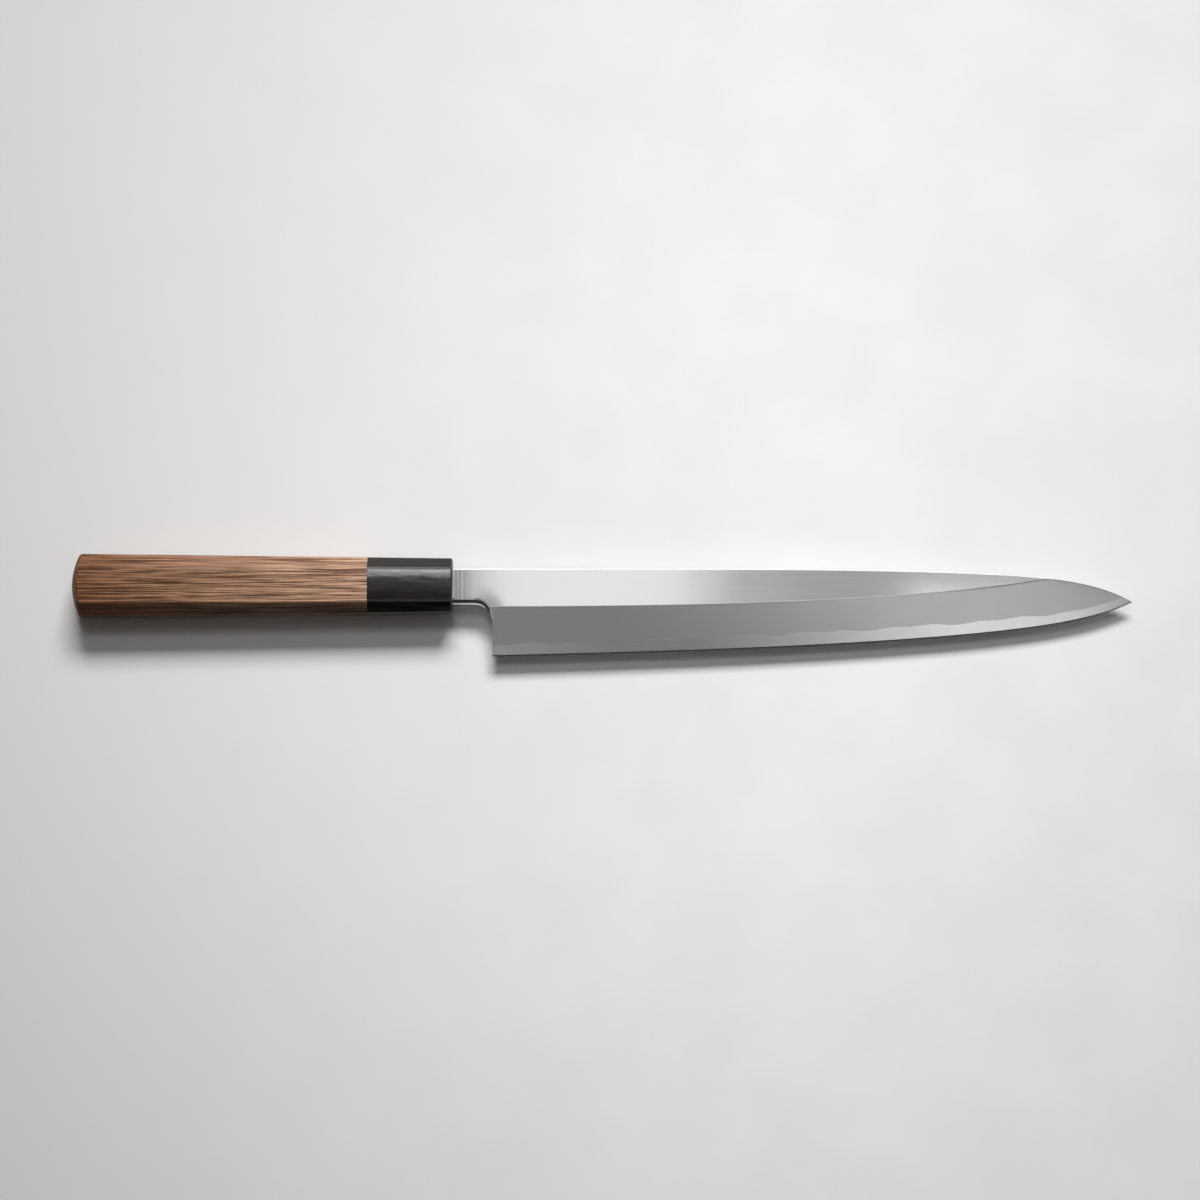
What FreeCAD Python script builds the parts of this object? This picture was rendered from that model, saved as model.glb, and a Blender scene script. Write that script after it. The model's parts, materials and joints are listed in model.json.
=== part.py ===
import FreeCAD, Part
import math
import os

V = FreeCAD.Vector

# Blade outline, in millimetres. The spine lies towards +Y, the edge towards -Y.
EDGE_LENGTH = 240.0         # heel to point
HEEL_HEIGHT = 32.5          # spine line to edge at the heel
TIP_DROP = 11.95            # spine line to point
NECK_LENGTH = 15.0          # ferrule face to heel
NECK_RISE = 6.3             # handle's axis to spine line
NECK_FALL = 7.0             # handle's axis to the neck's underside, a shoulder under the tang
CHOIL_RADIUS = 6.5          # inner corner between neck and heel
SPINE_STRAIGHT = 100.0      # heel to where the spine starts to fall
SPINE_SWEEP = 0.355         # part of the fall that is a long even sweep
NOSE_POWER = 9.0            # how late the rest of the fall comes
EDGE_SLOPE = 0.29           # part of the edge's rise that is a straight slope
EDGE_BELLY = 0.444          # part of the rise that is the long belly
BELLY_POWER = 3.1
POINT_POWER = 15.0          # how late the last upturn to the point comes

# Blade section
NECK_THICKNESS = 3.9        # at the ferrule
POINT_THICKNESS = 1.9       # of the flat's slope carried on to the point
BEVEL_HEEL = 18.4           # edge to ridge line at the heel
BEVEL_WIDTH = 16.7          # edge to ridge line further on
BEVEL_NOSE = 2.6            # what it gains at the point
BEVEL_NOSE_POWER = 6        # how late that comes
EDGE_LAND = 0.04            # what the whetstone leaves at the very edge
MICRO_BEVEL_WIDTH = 0.5
MICRO_BEVEL_ANGLE = 22.0
SPINE_EASE = 0.3            # rounding along the spine, front
NECK_EASE = 1.6             # rounding along the neck's underside, choil and heel, front
BACK_EASE = 0.4             # rounding along all of these, back

# Hollow back
HOLLOW_RADIUS = 230.0       # of the grinding wheel
HOLLOW_SPINE_RIM = 2.6
HOLLOW_EDGE_RIM = 1.4
HOLLOW_HEEL_RIM = 3.0
HOLLOW_POINT_RIM = 14.0
HOLLOW_FADE = 9.0           # length over which the hollow runs out at its ends
HOLLOW_END_SHARE = 0.05     # of its full depth, left at the ends

# Hard steel layer on the back
STEEL_HEEL = 1.0            # thickness at the heel
STEEL_POINT = 0.44
STEEL_NECK_LAP = 4.0        # how far it laps on to the neck behind the heel
WELD_WAVE = 0.04            # height of the waves in the weld line
WELD_WAVE_LENGTH = 35.5
WELD_WAVE_CREST = 208.6     # place of one crest
WELD_RIPPLE_LENGTH = 16.8   # shorter waves on the long ones
WELD_RIPPLE_CREST = 180.1

# Tang
TANG_LENGTH = 106.0         # behind the ferrule's face
TANG_HEIGHT = 11.8          # at the ferrule's face
TAIL_HEIGHT = 5.0
TAIL_THICKNESS = 2.4

# Handle
HANDLE_LENGTH = 142.0
FERRULE_LENGTH = 31.5
FRONT_WIDTH = 20.8          # along the blade's height, at the ferrule's face
FRONT_FACET = 4.1           # leg of the corner facets at the ferrule's face
BUTT_WIDTH = 24.0
BUTT_THICKNESS = 21.4
BUTT_FACET = 5.2
BUTT_DOME = 25.0            # radius of the domed butt
FACET_EASE = 0.6            # rounding along the facets
EASE_SHARE = 0.9            # of that, the widest rounding that runs round the facets' ends
BUTT_EASE = 0.4             # rounding round the butt
FRONT_EASE = 0.5            # rounding round the ferrule's face

# Inside the handle
FERRULE_WEB = 6.0           # front wall of the ferrule
FERRULE_WALL = 2.0          # round the dowel, at the ferrule's face
DOWEL_WALL = 1.2            # round the corners of the mortise
DOWEL_IN_GRIP = 28.0
DOWEL_CHAMFER = 0.6
MOUTH_GAP = 0.3             # round the tang in the ferrule's mouth
BED_GAP = 0.3               # round the tang in the mortise
PILOT_GAP = 0.6             # round the tang's corners in the pilot bore
GLUE_GAP = 0.05             # round the dowel
TAIL_ROOM = 3.0             # bore past the end of the tang
DRILL_POINT = 118.0         # angle of the bore's conical end
SEAL_DEPTH = 3.0

# Worked out from the sizes above. X runs from the ferrule's face to the point, along the handle's axis.
HEEL_X = NECK_LENGTH
TIP_X = NECK_LENGTH + EDGE_LENGTH
BEND_X = HEEL_X + SPINE_STRAIGHT
SPINE_Y = NECK_RISE
NECK_Y = -NECK_FALL
HEEL_Y = SPINE_Y - HEEL_HEIGHT
BACK_Z = -NECK_THICKNESS / 2
MICRO_BEVEL_SLOPE = math.tan(math.radians(MICRO_BEVEL_ANGLE))
JOINT_X = -FERRULE_LENGTH
DOWEL_END_X = JOINT_X - DOWEL_IN_GRIP
PAST = 2.0                  # how far cutting bodies reach past what they cut
FINE = 1e-3                 # how close a point lies to count as on a face
NEAR = 0.05                 # the same, for a curve through points of a formula
OUTLINE_COUNT = 14          # points along the curved part of the spine, and along the edge
BEVEL_COUNT = 16            # points along each guide of a bevel
HOLLOW_COUNT = 7            # sections across the hollow, between its faded ends
WELD_STEP = 4.0             # between points of the weld line


def blade_thickness(x):
    return NECK_THICKNESS + (POINT_THICKNESS - NECK_THICKNESS) * x / TIP_X


def spine_y(x):
    fall = max(x - BEND_X, 0.0) / (TIP_X - BEND_X)
    return SPINE_Y - TIP_DROP * (SPINE_SWEEP * fall ** 2 + (1 - SPINE_SWEEP) * fall ** NOSE_POWER)


def edge_y(x):
    along = (x - HEEL_X) / EDGE_LENGTH
    ahead = max(along, 0.0)
    rise = EDGE_SLOPE * along + EDGE_BELLY * ahead ** BELLY_POWER
    rise += (1 - EDGE_SLOPE - EDGE_BELLY) * ahead ** POINT_POWER
    return HEEL_Y + (HEEL_HEIGHT - TIP_DROP) * rise


def bevel_width(x):
    left = min(max((TIP_X - x) / EDGE_LENGTH, 0.0), 1.0)
    width = BEVEL_WIDTH + (BEVEL_HEEL - BEVEL_WIDTH) * left ** 3
    return width + BEVEL_NOSE * (1 - left) ** BEVEL_NOSE_POWER


def steel_thickness(x):
    along = (x - HEEL_X) / EDGE_LENGTH
    wave = math.cos(2 * math.pi * (x - WELD_WAVE_CREST) / WELD_WAVE_LENGTH)
    ripple = math.cos(2 * math.pi * (x - WELD_RIPPLE_CREST) / WELD_RIPPLE_LENGTH)
    return STEEL_HEEL + (STEEL_POINT - STEEL_HEEL) * along ** 3 + WELD_WAVE * (wave + ripple)


def stations(start, end, count):
    """Places along X that close up towards the end, where the blade's curves are tightest."""
    return [start + (end - start) * math.sin(math.pi / 2 * i / (count - 1)) for i in range(count)]


def curve(points, start_run=None, end_run=None):
    spline = Part.BSplineCurve()
    if start_run is None:
        spline.interpolate(points)
    else:
        spline.interpolate(Points=points, InitialTangent=start_run, FinalTangent=end_run)
    return spline.toShape()


def polygon_face(points):
    return Part.Face(Part.makePolygon(points + points[:1]))


def tapered_bar(start, end):
    """A solid between two polygons with parallel sides, so that every side is a flat face.
    Their corners run round from +Y to +Z, which has every face look outwards."""
    faces = [polygon_face(start[::-1]), polygon_face(end)]
    for i in range(len(start)):
        faces.append(polygon_face([start[i - 1], start[i], end[i], end[i - 1]]))
    return Part.makeSolid(Part.makeShell(faces))


def block(x0, x1, half_y, half_z):
    return Part.makeBox(x1 - x0, 2 * half_y, 2 * half_z, V(x0, -half_y, -half_z))


def rod(x0, x1, radius):
    return Part.makeCylinder(radius, x1 - x0, V(x0, 0, 0), V(1, 0, 0))


def edges_where(solid, test):
    """The edges whose middle passes the test."""
    found = []
    for edge in solid.Edges:
        first, last = edge.ParameterRange
        if test(edge.valueAt((first + last) / 2)):
            found.append(edge)
    return found


# Blade

def blade_outline():
    slope = (spine_y(TIP_X) - spine_y(TIP_X - FINE)) / FINE
    spine = [V(x, spine_y(x), BACK_Z) for x in stations(BEND_X, TIP_X, OUTLINE_COUNT)]
    edge = [V(x, edge_y(x), BACK_Z) for x in stations(HEEL_X, TIP_X, OUTLINE_COUNT)]
    turn = CHOIL_RADIUS * math.sqrt(0.5)
    arc_centre = V(HEEL_X - CHOIL_RADIUS, NECK_Y - CHOIL_RADIUS, BACK_Z)
    arc_start = arc_centre + V(0, CHOIL_RADIUS, 0)
    arc_end = arc_centre + V(CHOIL_RADIUS, 0, 0)
    top = V(0, SPINE_Y, BACK_Z)
    bottom = V(0, NECK_Y, BACK_Z)
    wire = Part.Wire([
        Part.makeLine(bottom, top),
        Part.makeLine(top, spine[0]),
        curve(spine, V(1, 0, 0), V(1, slope, 0)),
        curve(edge[::-1]),
        Part.makeLine(edge[0], arc_end),
        Part.Arc(arc_end, arc_centre + V(turn, turn, 0), arc_start).toShape(),
        Part.makeLine(arc_start, bottom),
    ])
    return Part.Face(wire)


def blade_blank():
    """The outline, as thick as the neck, thinned from neck to point and with its edges rounded."""
    plate = blade_outline().extrude(V(0, 0, NECK_THICKNESS))
    far = TIP_X + PAST
    wedge = polygon_face([
        V(0, HEEL_Y - PAST, BACK_Z),
        V(far, HEEL_Y - PAST, BACK_Z),
        V(far, HEEL_Y - PAST, BACK_Z + blade_thickness(far)),
        V(0, HEEL_Y - PAST, BACK_Z + NECK_THICKNESS),
    ]).extrude(V(0, HEEL_HEIGHT + 2 * PAST, 0))
    blank = plate.common(wedge)

    def on_front(p):
        return abs(p.z - BACK_Z - blade_thickness(p.x)) < FINE

    def on_back(p):
        return abs(p.z - BACK_Z) < FINE

    def on_spine(p):
        return p.y > spine_y(p.x) - NEAR

    def on_neck(p):
        return p.x < HEEL_X + FINE and p.y < NECK_Y + FINE

    blank = blank.makeFillet(SPINE_EASE, edges_where(blank, lambda p: on_front(p) and on_spine(p)))
    blank = blank.makeFillet(NECK_EASE, edges_where(blank, lambda p: on_front(p) and on_neck(p)))
    back_edges = edges_where(blank, lambda p: on_back(p) and (on_spine(p) or on_neck(p)))
    return blank.makeFillet(BACK_EASE, back_edges)


def main_bevel(x):
    """Height at the edge, slope and width of the wide bevel, left high enough for the micro bevel."""
    width = bevel_width(x)
    foot = EDGE_LAND + MICRO_BEVEL_WIDTH * (MICRO_BEVEL_SLOPE - blade_thickness(x) / width)
    return foot, (blade_thickness(x) - foot) / width, width


def micro_bevel(x):
    return EDGE_LAND, MICRO_BEVEL_SLOPE, MICRO_BEVEL_WIDTH


def ground_away(bevel):
    """The body that a whetstone takes off above a bevel: each line of the bevel runs up from the edge."""
    low = []
    high = []
    for x in stations(HEEL_X - NECK_LENGTH / 2, TIP_X + PAST, BEVEL_COUNT):
        foot, slope, width = bevel(x)
        low.append(V(x, edge_y(x) - PAST, BACK_Z + foot - PAST * slope))
        high.append(V(x, edge_y(x) + width + PAST, BACK_Z + foot + (width + PAST) * slope))
    face = Part.makeRuledSurface(curve(low), curve(high))
    return face.extrude(V(0, 0, 2 * NECK_THICKNESS))


def hollow():
    """The shallow hollow of the back, as wide as the blade less its flat rims."""
    start = HEEL_X + HOLLOW_HEEL_RIM
    end = TIP_X - HOLLOW_POINT_RIM
    run = end - start - 2 * HOLLOW_FADE
    full = [start + HOLLOW_FADE + run * i / (HOLLOW_COUNT - 1) for i in range(HOLLOW_COUNT)]
    sections = []
    for x in [start] + full + [end]:
        low = edge_y(x) + HOLLOW_EDGE_RIM
        high = spine_y(x) - HOLLOW_SPINE_RIM
        depth = (high - low) ** 2 / (8 * HOLLOW_RADIUS)
        if x not in full:
            depth *= HOLLOW_END_SHARE
        crown = Part.Arc(V(x, low, BACK_Z), V(x, (low + high) / 2, BACK_Z + depth), V(x, high, BACK_Z))
        below = Part.makePolygon([
            V(x, high, BACK_Z), V(x, high, BACK_Z - PAST), V(x, low, BACK_Z - PAST), V(x, low, BACK_Z)])
        sections.append(Part.Wire([crown.toShape()] + below.Edges))
    return Part.makeLoft(sections, True)


def steel_zone():
    """Everything behind the weld line, from the neck lap to past the point."""
    start = HEEL_X - STEEL_NECK_LAP
    end = TIP_X + PAST
    count = round((end - start) / WELD_STEP)
    y = HEEL_Y - PAST
    weld = []
    for i in range(count):
        x = start + (end - start) * i / (count - 1)
        weld.append(V(x, y, BACK_Z + steel_thickness(x)))
    floor = BACK_Z - PAST
    wire = Part.Wire([curve(weld)] + Part.makePolygon(
        [weld[-1], V(end, y, floor), V(start, y, floor), weld[0]]).Edges)
    return Part.Face(wire).extrude(V(0, HEEL_HEIGHT + 2 * PAST, 0))


def tang_half_height(x):
    return (TANG_HEIGHT + (TAIL_HEIGHT - TANG_HEIGHT) * -x / TANG_LENGTH) / 2


def tang_half_thickness(x):
    return (NECK_THICKNESS + (TAIL_THICKNESS - NECK_THICKNESS) * -x / TANG_LENGTH) / 2


def tang_stretch(x0, x1, room=0.0):
    """The tapering tang between two places, with room left all round it."""
    ends = []
    for x in (x0, x1):
        y = tang_half_height(x) + room
        z = tang_half_thickness(x) + room
        ends.append([V(x, -y, -z), V(x, y, -z), V(x, y, z), V(x, -y, z)])
    return tapered_bar(*ends)


def blade_pieces():
    """The iron body with its tang, and the steel layer welded to its back."""
    blade = blade_blank()
    blade = blade.cut(ground_away(main_bevel)).cut(ground_away(micro_bevel))
    blade = blade.cut(hollow())
    steel = steel_zone()
    body = blade.cut(steel).fuse(tang_stretch(-TANG_LENGTH, 0)).removeSplitter()
    return body, blade.common(steel)


# Handle

def dowel_radius():
    x = -FERRULE_WEB
    return math.hypot(tang_half_height(x) + BED_GAP, tang_half_thickness(x) + BED_GAP) + DOWEL_WALL


def pilot_radius():
    return math.hypot(tang_half_height(DOWEL_END_X), tang_half_thickness(DOWEL_END_X)) + PILOT_GAP


def octagon(x, width, thickness, facet):
    y = width / 2
    z = thickness / 2
    corners = [(y, z - facet), (y - facet, z), (facet - y, z), (-y, z - facet),
               (-y, facet - z), (facet - y, -z), (y - facet, -z), (y, facet - z)]
    return [V(x, a, b) for a, b in corners]


def front_thickness():
    return 2 * (dowel_radius() + GLUE_GAP + FERRULE_WALL)


def handle_blank():
    """Ferrule and grip in one, as they are planed and sanded together: left long, then domed at the butt."""
    butt = octagon(-HANDLE_LENGTH, BUTT_WIDTH, BUTT_THICKNESS, BUTT_FACET)
    front = octagon(0, FRONT_WIDTH, front_thickness(), FRONT_FACET)
    long_end = [b + (b - f) * (PAST / HANDLE_LENGTH) for b, f in zip(butt, front)]
    blank = tapered_bar(long_end, front)
    blank = blank.makeFillet(FACET_EASE, edges_where(blank, lambda p: -HANDLE_LENGTH < p.x < -FINE))
    centre = V(BUTT_DOME - HANDLE_LENGTH, 0, 0)
    round_dome = block(-HANDLE_LENGTH - 2 * PAST, centre.x, BUTT_WIDTH, BUTT_WIDTH)
    blank = blank.cut(round_dome.cut(Part.makeSphere(BUTT_DOME, centre)))
    widest = EASE_SHARE * FACET_EASE
    blank = blank.makeFillet(min(BUTT_EASE, widest), edges_where(
        blank, lambda p: p.x < centre.x and abs(p.distanceToPoint(centre) - BUTT_DOME) < FINE))
    return blank.makeFillet(min(FRONT_EASE, widest), edges_where(blank, lambda p: p.x > -FINE))


def mouth(x0, x1):
    """A stretch of the slot in the ferrule's front wall."""
    return block(x0, x1, TANG_HEIGHT / 2 + MOUTH_GAP, NECK_THICKNESS / 2 + MOUTH_GAP)


def pilot_bore():
    """The drilled bore for the tail of the tang, with the drill's conical end."""
    radius = pilot_radius()
    end = -TANG_LENGTH - TAIL_ROOM
    cone = radius / math.tan(math.radians(DRILL_POINT / 2))
    point = Part.makeCone(0, radius, cone, V(end - cone, 0, 0), V(1, 0, 0))
    return rod(end, DOWEL_END_X, radius).fuse(point)


def ferrule(blank):
    collar = blank.common(block(JOINT_X, PAST, BUTT_WIDTH, BUTT_THICKNESS))
    collar = collar.cut(rod(JOINT_X - PAST, -FERRULE_WEB, dowel_radius() + GLUE_GAP))
    return collar.cut(mouth(-FERRULE_WEB - PAST, PAST))


def grip(blank):
    wood = blank.common(block(-HANDLE_LENGTH - PAST, JOINT_X, BUTT_WIDTH, BUTT_THICKNESS))
    wood = wood.cut(rod(DOWEL_END_X, JOINT_X + PAST, dowel_radius() + GLUE_GAP))
    return wood.cut(pilot_bore())


def tang_dowel():
    dowel = rod(DOWEL_END_X, -FERRULE_WEB, dowel_radius())
    dowel = dowel.makeChamfer(DOWEL_CHAMFER, edges_where(
        dowel, lambda p: p.x < DOWEL_END_X + FINE or p.x > -FERRULE_WEB - FINE))
    return dowel.cut(tang_stretch(DOWEL_END_X - PAST, PAST - FERRULE_WEB, BED_GAP))


def tang_bedding():
    """The resin cast round the tang, from the seal to the end of the pilot bore."""
    filled = mouth(-FERRULE_WEB, -SEAL_DEPTH)
    filled = filled.fuse(tang_stretch(DOWEL_END_X, -FERRULE_WEB, BED_GAP))
    filled = filled.fuse(pilot_bore())
    return filled.cut(tang_stretch(-TANG_LENGTH, 0))


def mouth_seal():
    return mouth(-SEAL_DEPTH, 0).cut(tang_stretch(-TANG_LENGTH, 0))


# The knife lies on the grip's under flat, which tapers, so the axis dips a little towards the point.
# The origin is the middle of that flat.

def lay_down(shape):
    fall = (BUTT_THICKNESS - front_thickness()) / 2
    tilt = FreeCAD.Rotation(V(0, 1, 0), math.degrees(math.atan2(fall, HANDLE_LENGTH)))
    middle = (HANDLE_LENGTH + FERRULE_LENGTH) / 2
    under = -front_thickness() / 2 - fall * middle / HANDLE_LENGTH
    shape.Placement = FreeCAD.Placement(tilt.multVec(V(middle, 0, -under)), tilt)
    return shape


def build():
    blade_body, edge_steel = blade_pieces()
    blank = handle_blank()
    return {
        "blade_body": blade_body,
        "edge_steel": edge_steel,
        "ferrule": ferrule(blank),
        "grip": grip(blank),
        "tang_dowel": tang_dowel(),
        "tang_bedding": tang_bedding(),
        "mouth_seal": mouth_seal(),
    }


os.makedirs("parts", exist_ok=True)
for name, shape in build().items():
    lay_down(shape).exportStep("parts/" + name + ".step")
    print(name, shape.isValid(), len(shape.Solids), round(shape.Volume, 1), shape.BoundBox)
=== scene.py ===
import bmesh
import bpy
import json
import math
from mathutils import Matrix, Vector


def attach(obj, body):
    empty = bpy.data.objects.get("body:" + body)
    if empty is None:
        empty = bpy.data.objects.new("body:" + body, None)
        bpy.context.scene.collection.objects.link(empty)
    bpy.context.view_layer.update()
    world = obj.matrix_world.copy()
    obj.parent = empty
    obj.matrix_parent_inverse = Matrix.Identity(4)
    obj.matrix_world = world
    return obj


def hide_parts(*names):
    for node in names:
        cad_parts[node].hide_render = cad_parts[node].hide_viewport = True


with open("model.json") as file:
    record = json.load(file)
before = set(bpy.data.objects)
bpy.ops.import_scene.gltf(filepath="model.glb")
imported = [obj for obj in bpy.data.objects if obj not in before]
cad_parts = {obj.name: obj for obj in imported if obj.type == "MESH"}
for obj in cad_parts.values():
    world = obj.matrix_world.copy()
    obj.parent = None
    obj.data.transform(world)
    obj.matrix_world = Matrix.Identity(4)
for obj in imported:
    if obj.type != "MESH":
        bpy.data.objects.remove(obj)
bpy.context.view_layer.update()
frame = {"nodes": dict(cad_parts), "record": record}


# Blade body
# The body is soft iron, forged in one with its neck and with the tapering tang that the handle hides.
# Its face is ground flat down to the ridge line. From there a wide bevel, hazed by whetstones, runs down
# to the cutting steel, which is forge-welded to its back along a line that wanders a little.
EDGE_LENGTH = 0.240
HEEL_HEIGHT = 0.0325         # spine line to heel
TIP_DROP = 0.01195           # spine line to point
NECK_LENGTH = 0.0150
NECK_RISE = 0.0063           # handle's axis to spine line
NECK_FALL = 0.0070           # handle's axis to the neck's underside
CHOIL_RADIUS = 0.0065        # inner corner between neck and heel
SPINE_STRAIGHT = 0.100       # heel to where the spine starts to fall
SPINE_SWEEP = 0.355          # part of the fall that is a long even sweep
NOSE_POWER = 9.0             # how late the rest of the fall comes
EDGE_SLOPE = 0.29            # part of the edge's rise that is a straight slope
EDGE_BELLY = 0.444           # part of the rise that is the long belly
BELLY_POWER = 3.1
POINT_POWER = 15.0           # how late the last upturn to the point comes
NECK_THICKNESS = 0.0039      # at the ferrule
POINT_THICKNESS = 0.0019     # of the flat's slope carried on to the point
BEVEL_HEEL = 0.0184          # edge to ridge line at the heel
BEVEL_WIDTH = 0.0167         # edge to ridge line further on
BEVEL_HEEL_POWER = 3         # how soon the first runs out into the second
BEVEL_NOSE = 0.0026          # what it gains at the point
BEVEL_NOSE_POWER = 6         # how late that comes
EDGE_LAND = 0.00004          # what the whetstone leaves at the very edge
MICRO_BEVEL_WIDTH = 0.0005
MICRO_BEVEL_SLOPE = math.tan(math.radians(22))
SPINE_EASE = 0.00010         # rounding along the spine
NECK_EASE = 0.0024           # rounding along the neck's underside, running out round the choil
HEEL_EASE = 0.0004           # what is left of its radius at the heel
HEEL_STEEP = math.radians(45)  # how steep it still gets there
BACK_EASE = 0.0004           # rounding along the back
NECK_WEAR = 0.00009          # how far the flat is rubbed down at the neck's underside and the choil
NECK_WEAR_REACH = 0.008
NECK_LINE_X = 0.00055        # a fine line filed across the neck beside the ferrule
NECK_LINE_DEPTH = 0.000006
NECK_LINE_WIDTH = 0.00009
POINT_WEAR = 0.00027         # what the very point has lost
RIDGE_LIP = 0.00005          # how far the stones have cut the bevel down close to the ridge
RIDGE_LIP_HEEL = 0.3         # share of that towards the heel
RIDGE_LIP_X = 0.165          # it grows to the whole between here
RIDGE_LIP_FADE = 0.035       # and this much further on
STEEL_HEEL = 0.0010          # the cutting steel's thickness at the heel
STEEL_POINT = 0.00044
STEEL_POWER = 3              # how late the steel thins
STEEL_NECK_LAP = 0.004       # how far it laps on to the neck behind the heel
WELD_WAVE = 0.00004          # height of the waves in the weld line
WELD_WAVE_LENGTH = 0.0355
WELD_WAVE_CREST = 0.2086     # place of one crest
WELD_RIPPLE_LENGTH = 0.0168  # shorter waves on the long ones
WELD_RIPPLE_CREST = 0.1801
WELD_CALM_POWER = 6          # how late the waves die away towards the point
TANG_LENGTH = 0.106          # behind the ferrule's face
TANG_HEIGHT = 0.0118         # at the ferrule's face
TAIL_HEIGHT = 0.005
TAIL_THICKNESS = 0.0024

HEEL_X = NECK_LENGTH
TIP_X = NECK_LENGTH + EDGE_LENGTH
BEND_X = HEEL_X + SPINE_STRAIGHT
SPINE_Y = NECK_RISE
NECK_Y = -NECK_FALL
HEEL_Y = SPINE_Y - HEEL_HEIGHT
CHOIL_X = HEEL_X - CHOIL_RADIUS
CHOIL_Y = NECK_Y - CHOIL_RADIUS
LAP_X = HEEL_X - STEEL_NECK_LAP

# The knife is drawn along its own axis, from the middle of the ferrule's face, and then laid down by the
# place and direction in which a sheath slides over the blade.
slide = next(m for m in frame["record"]["mounts"] if m["name"] == "saya_slide")
knife_x = Vector(slide["axis"]).normalized()
knife_y = Vector((0, 1, 0))
knife_z = knife_x.cross(knife_y)
knife = Matrix.Translation(slide["pos_m"]) @ Matrix((knife_x, knife_y, knife_z)).transposed().to_4x4()


def spine_y(x):
    fall = max(x - BEND_X, 0) / (TIP_X - BEND_X)
    return SPINE_Y - TIP_DROP * (SPINE_SWEEP * fall ** 2 + (1 - SPINE_SWEEP) * fall ** NOSE_POWER)


def edge_y(x):
    along = (x - HEEL_X) / EDGE_LENGTH
    ahead = max(along, 0)
    rise = EDGE_SLOPE * along + EDGE_BELLY * ahead ** BELLY_POWER
    rise += (1 - EDGE_SLOPE - EDGE_BELLY) * ahead ** POINT_POWER
    return HEEL_Y + (HEEL_HEIGHT - TIP_DROP) * rise


# Heights are measured up from the flat back of the blade.

def flat_height(x):
    return NECK_THICKNESS + (POINT_THICKNESS - NECK_THICKNESS) * x / TIP_X


def weld_height(x):
    along = (x - HEEL_X) / EDGE_LENGTH
    wave = math.cos(2 * math.pi * (x - WELD_WAVE_CREST) / WELD_WAVE_LENGTH)
    ripple = math.cos(2 * math.pi * (x - WELD_RIPPLE_CREST) / WELD_RIPPLE_LENGTH)
    waves = WELD_WAVE * (wave + ripple) * (1 - max(along, 0) ** WELD_CALM_POWER)
    return STEEL_HEEL + (STEEL_POINT - STEEL_HEEL) * along ** STEEL_POWER + waves


def bevel_height(x, y):
    left = min(max((TIP_X - x) / EDGE_LENGTH, 0), 1)
    width = BEVEL_WIDTH + (BEVEL_HEEL - BEVEL_WIDTH) * left ** BEVEL_HEEL_POWER
    width += BEVEL_NOSE * (1 - left) ** BEVEL_NOSE_POWER
    foot = EDGE_LAND + MICRO_BEVEL_WIDTH * (MICRO_BEVEL_SLOPE - flat_height(x) / width)
    return foot + (flat_height(x) - foot) / width * (y - edge_y(x))


def rounded_off(radius, distance):
    """What a rounding takes off a face at a distance from its side."""
    if distance >= radius:
        return 0
    return radius - math.sqrt(radius ** 2 - (radius - max(distance, 0)) ** 2)


def neck_distance(x, y):
    """Distance to the neck's underside, the choil or the heel."""
    if x < CHOIL_X:
        return y - NECK_Y
    if y < CHOIL_Y:
        return x - HEEL_X
    return math.hypot(x - CHOIL_X, y - CHOIL_Y) - CHOIL_RADIUS


def neck_ease(x, y):
    """Radius and steepest angle of the rounding along these. Both get less round the choil."""
    turn = math.atan2(max(x - CHOIL_X, 0), max(y - CHOIL_Y, 0)) / (math.pi / 2)
    steep = math.pi / 2 + (HEEL_STEEP - math.pi / 2) * min(2 * turn, 1)
    return NECK_EASE + (HEEL_EASE - NECK_EASE) * turn ** 2, steep


def side_distance(x, y):
    """Distance to the nearest side that is rounded."""
    return min(neck_distance(x, y), spine_y(x) - y)


def flat_face(x, y):
    """The flat, with its sides rounded, rubbed down a little by the choil and filed beside the ferrule."""
    below = neck_distance(x, y)
    rubbed = NECK_WEAR * max(1 - below / NECK_WEAR_REACH, 0) ** 2
    filed = NECK_LINE_DEPTH * max(1 - abs(x - NECK_LINE_X) / NECK_LINE_WIDTH, 0)
    radius, steep = neck_ease(x, y)
    rounded = rounded_off(radius, max(below, 0) + radius * (1 - math.sin(steep)))
    rounded = max(rounded, rounded_off(SPINE_EASE, spine_y(x) - y))
    return flat_height(x) - rounded - rubbed - filed


def front_height(x, y):
    """The blade's front: flat, bevel and second bevel, whichever is lowest."""
    micro = EDGE_LAND + MICRO_BEVEL_SLOPE * (y - edge_y(x))
    return min(flat_face(x, y), bevel_height(x, y), max(micro, EDGE_LAND))


HALVINGS = 40
FRONT_STEPS = 6              # points across each rounding of the front
BACK_STEPS = 5               # and of the back
TINY = 1e-9                  # the least length that anything is divided by


def last_place(near, far, test):
    """The last place between two at which a test still holds, found by halving."""
    for _ in range(HALVINGS):
        middle = (near + far) / 2
        if test(middle):
            near = middle
        else:
            far = middle
    return near


def shares(count, start=0.0, end=1.0):
    return [start + (end - start) * i / (count - 1) for i in range(count)]


def rounding_steps(radius, count):
    """Distances from a side that divide a quarter rounding evenly."""
    return [radius * (1 - math.cos(math.pi / 2 * share)) for share in shares(count)]


class Cut:
    """One cut across the blade, from a point of the spine to a point of the lower outline."""

    def __init__(self, spine_x, low_x, low_y):
        self.top = Vector((spine_x, spine_y(spine_x)))
        self.low = Vector((low_x, low_y))
        self.length = max((self.low - self.top).length, TINY)

    def at(self, share):
        return self.top.lerp(self.low, share)

    def until(self, test):
        """The share of the cut up to which a test holds."""
        if test(*self.low):
            return 1.0
        return last_place(0.0, 1.0, lambda share: test(*self.at(share)))


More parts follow.
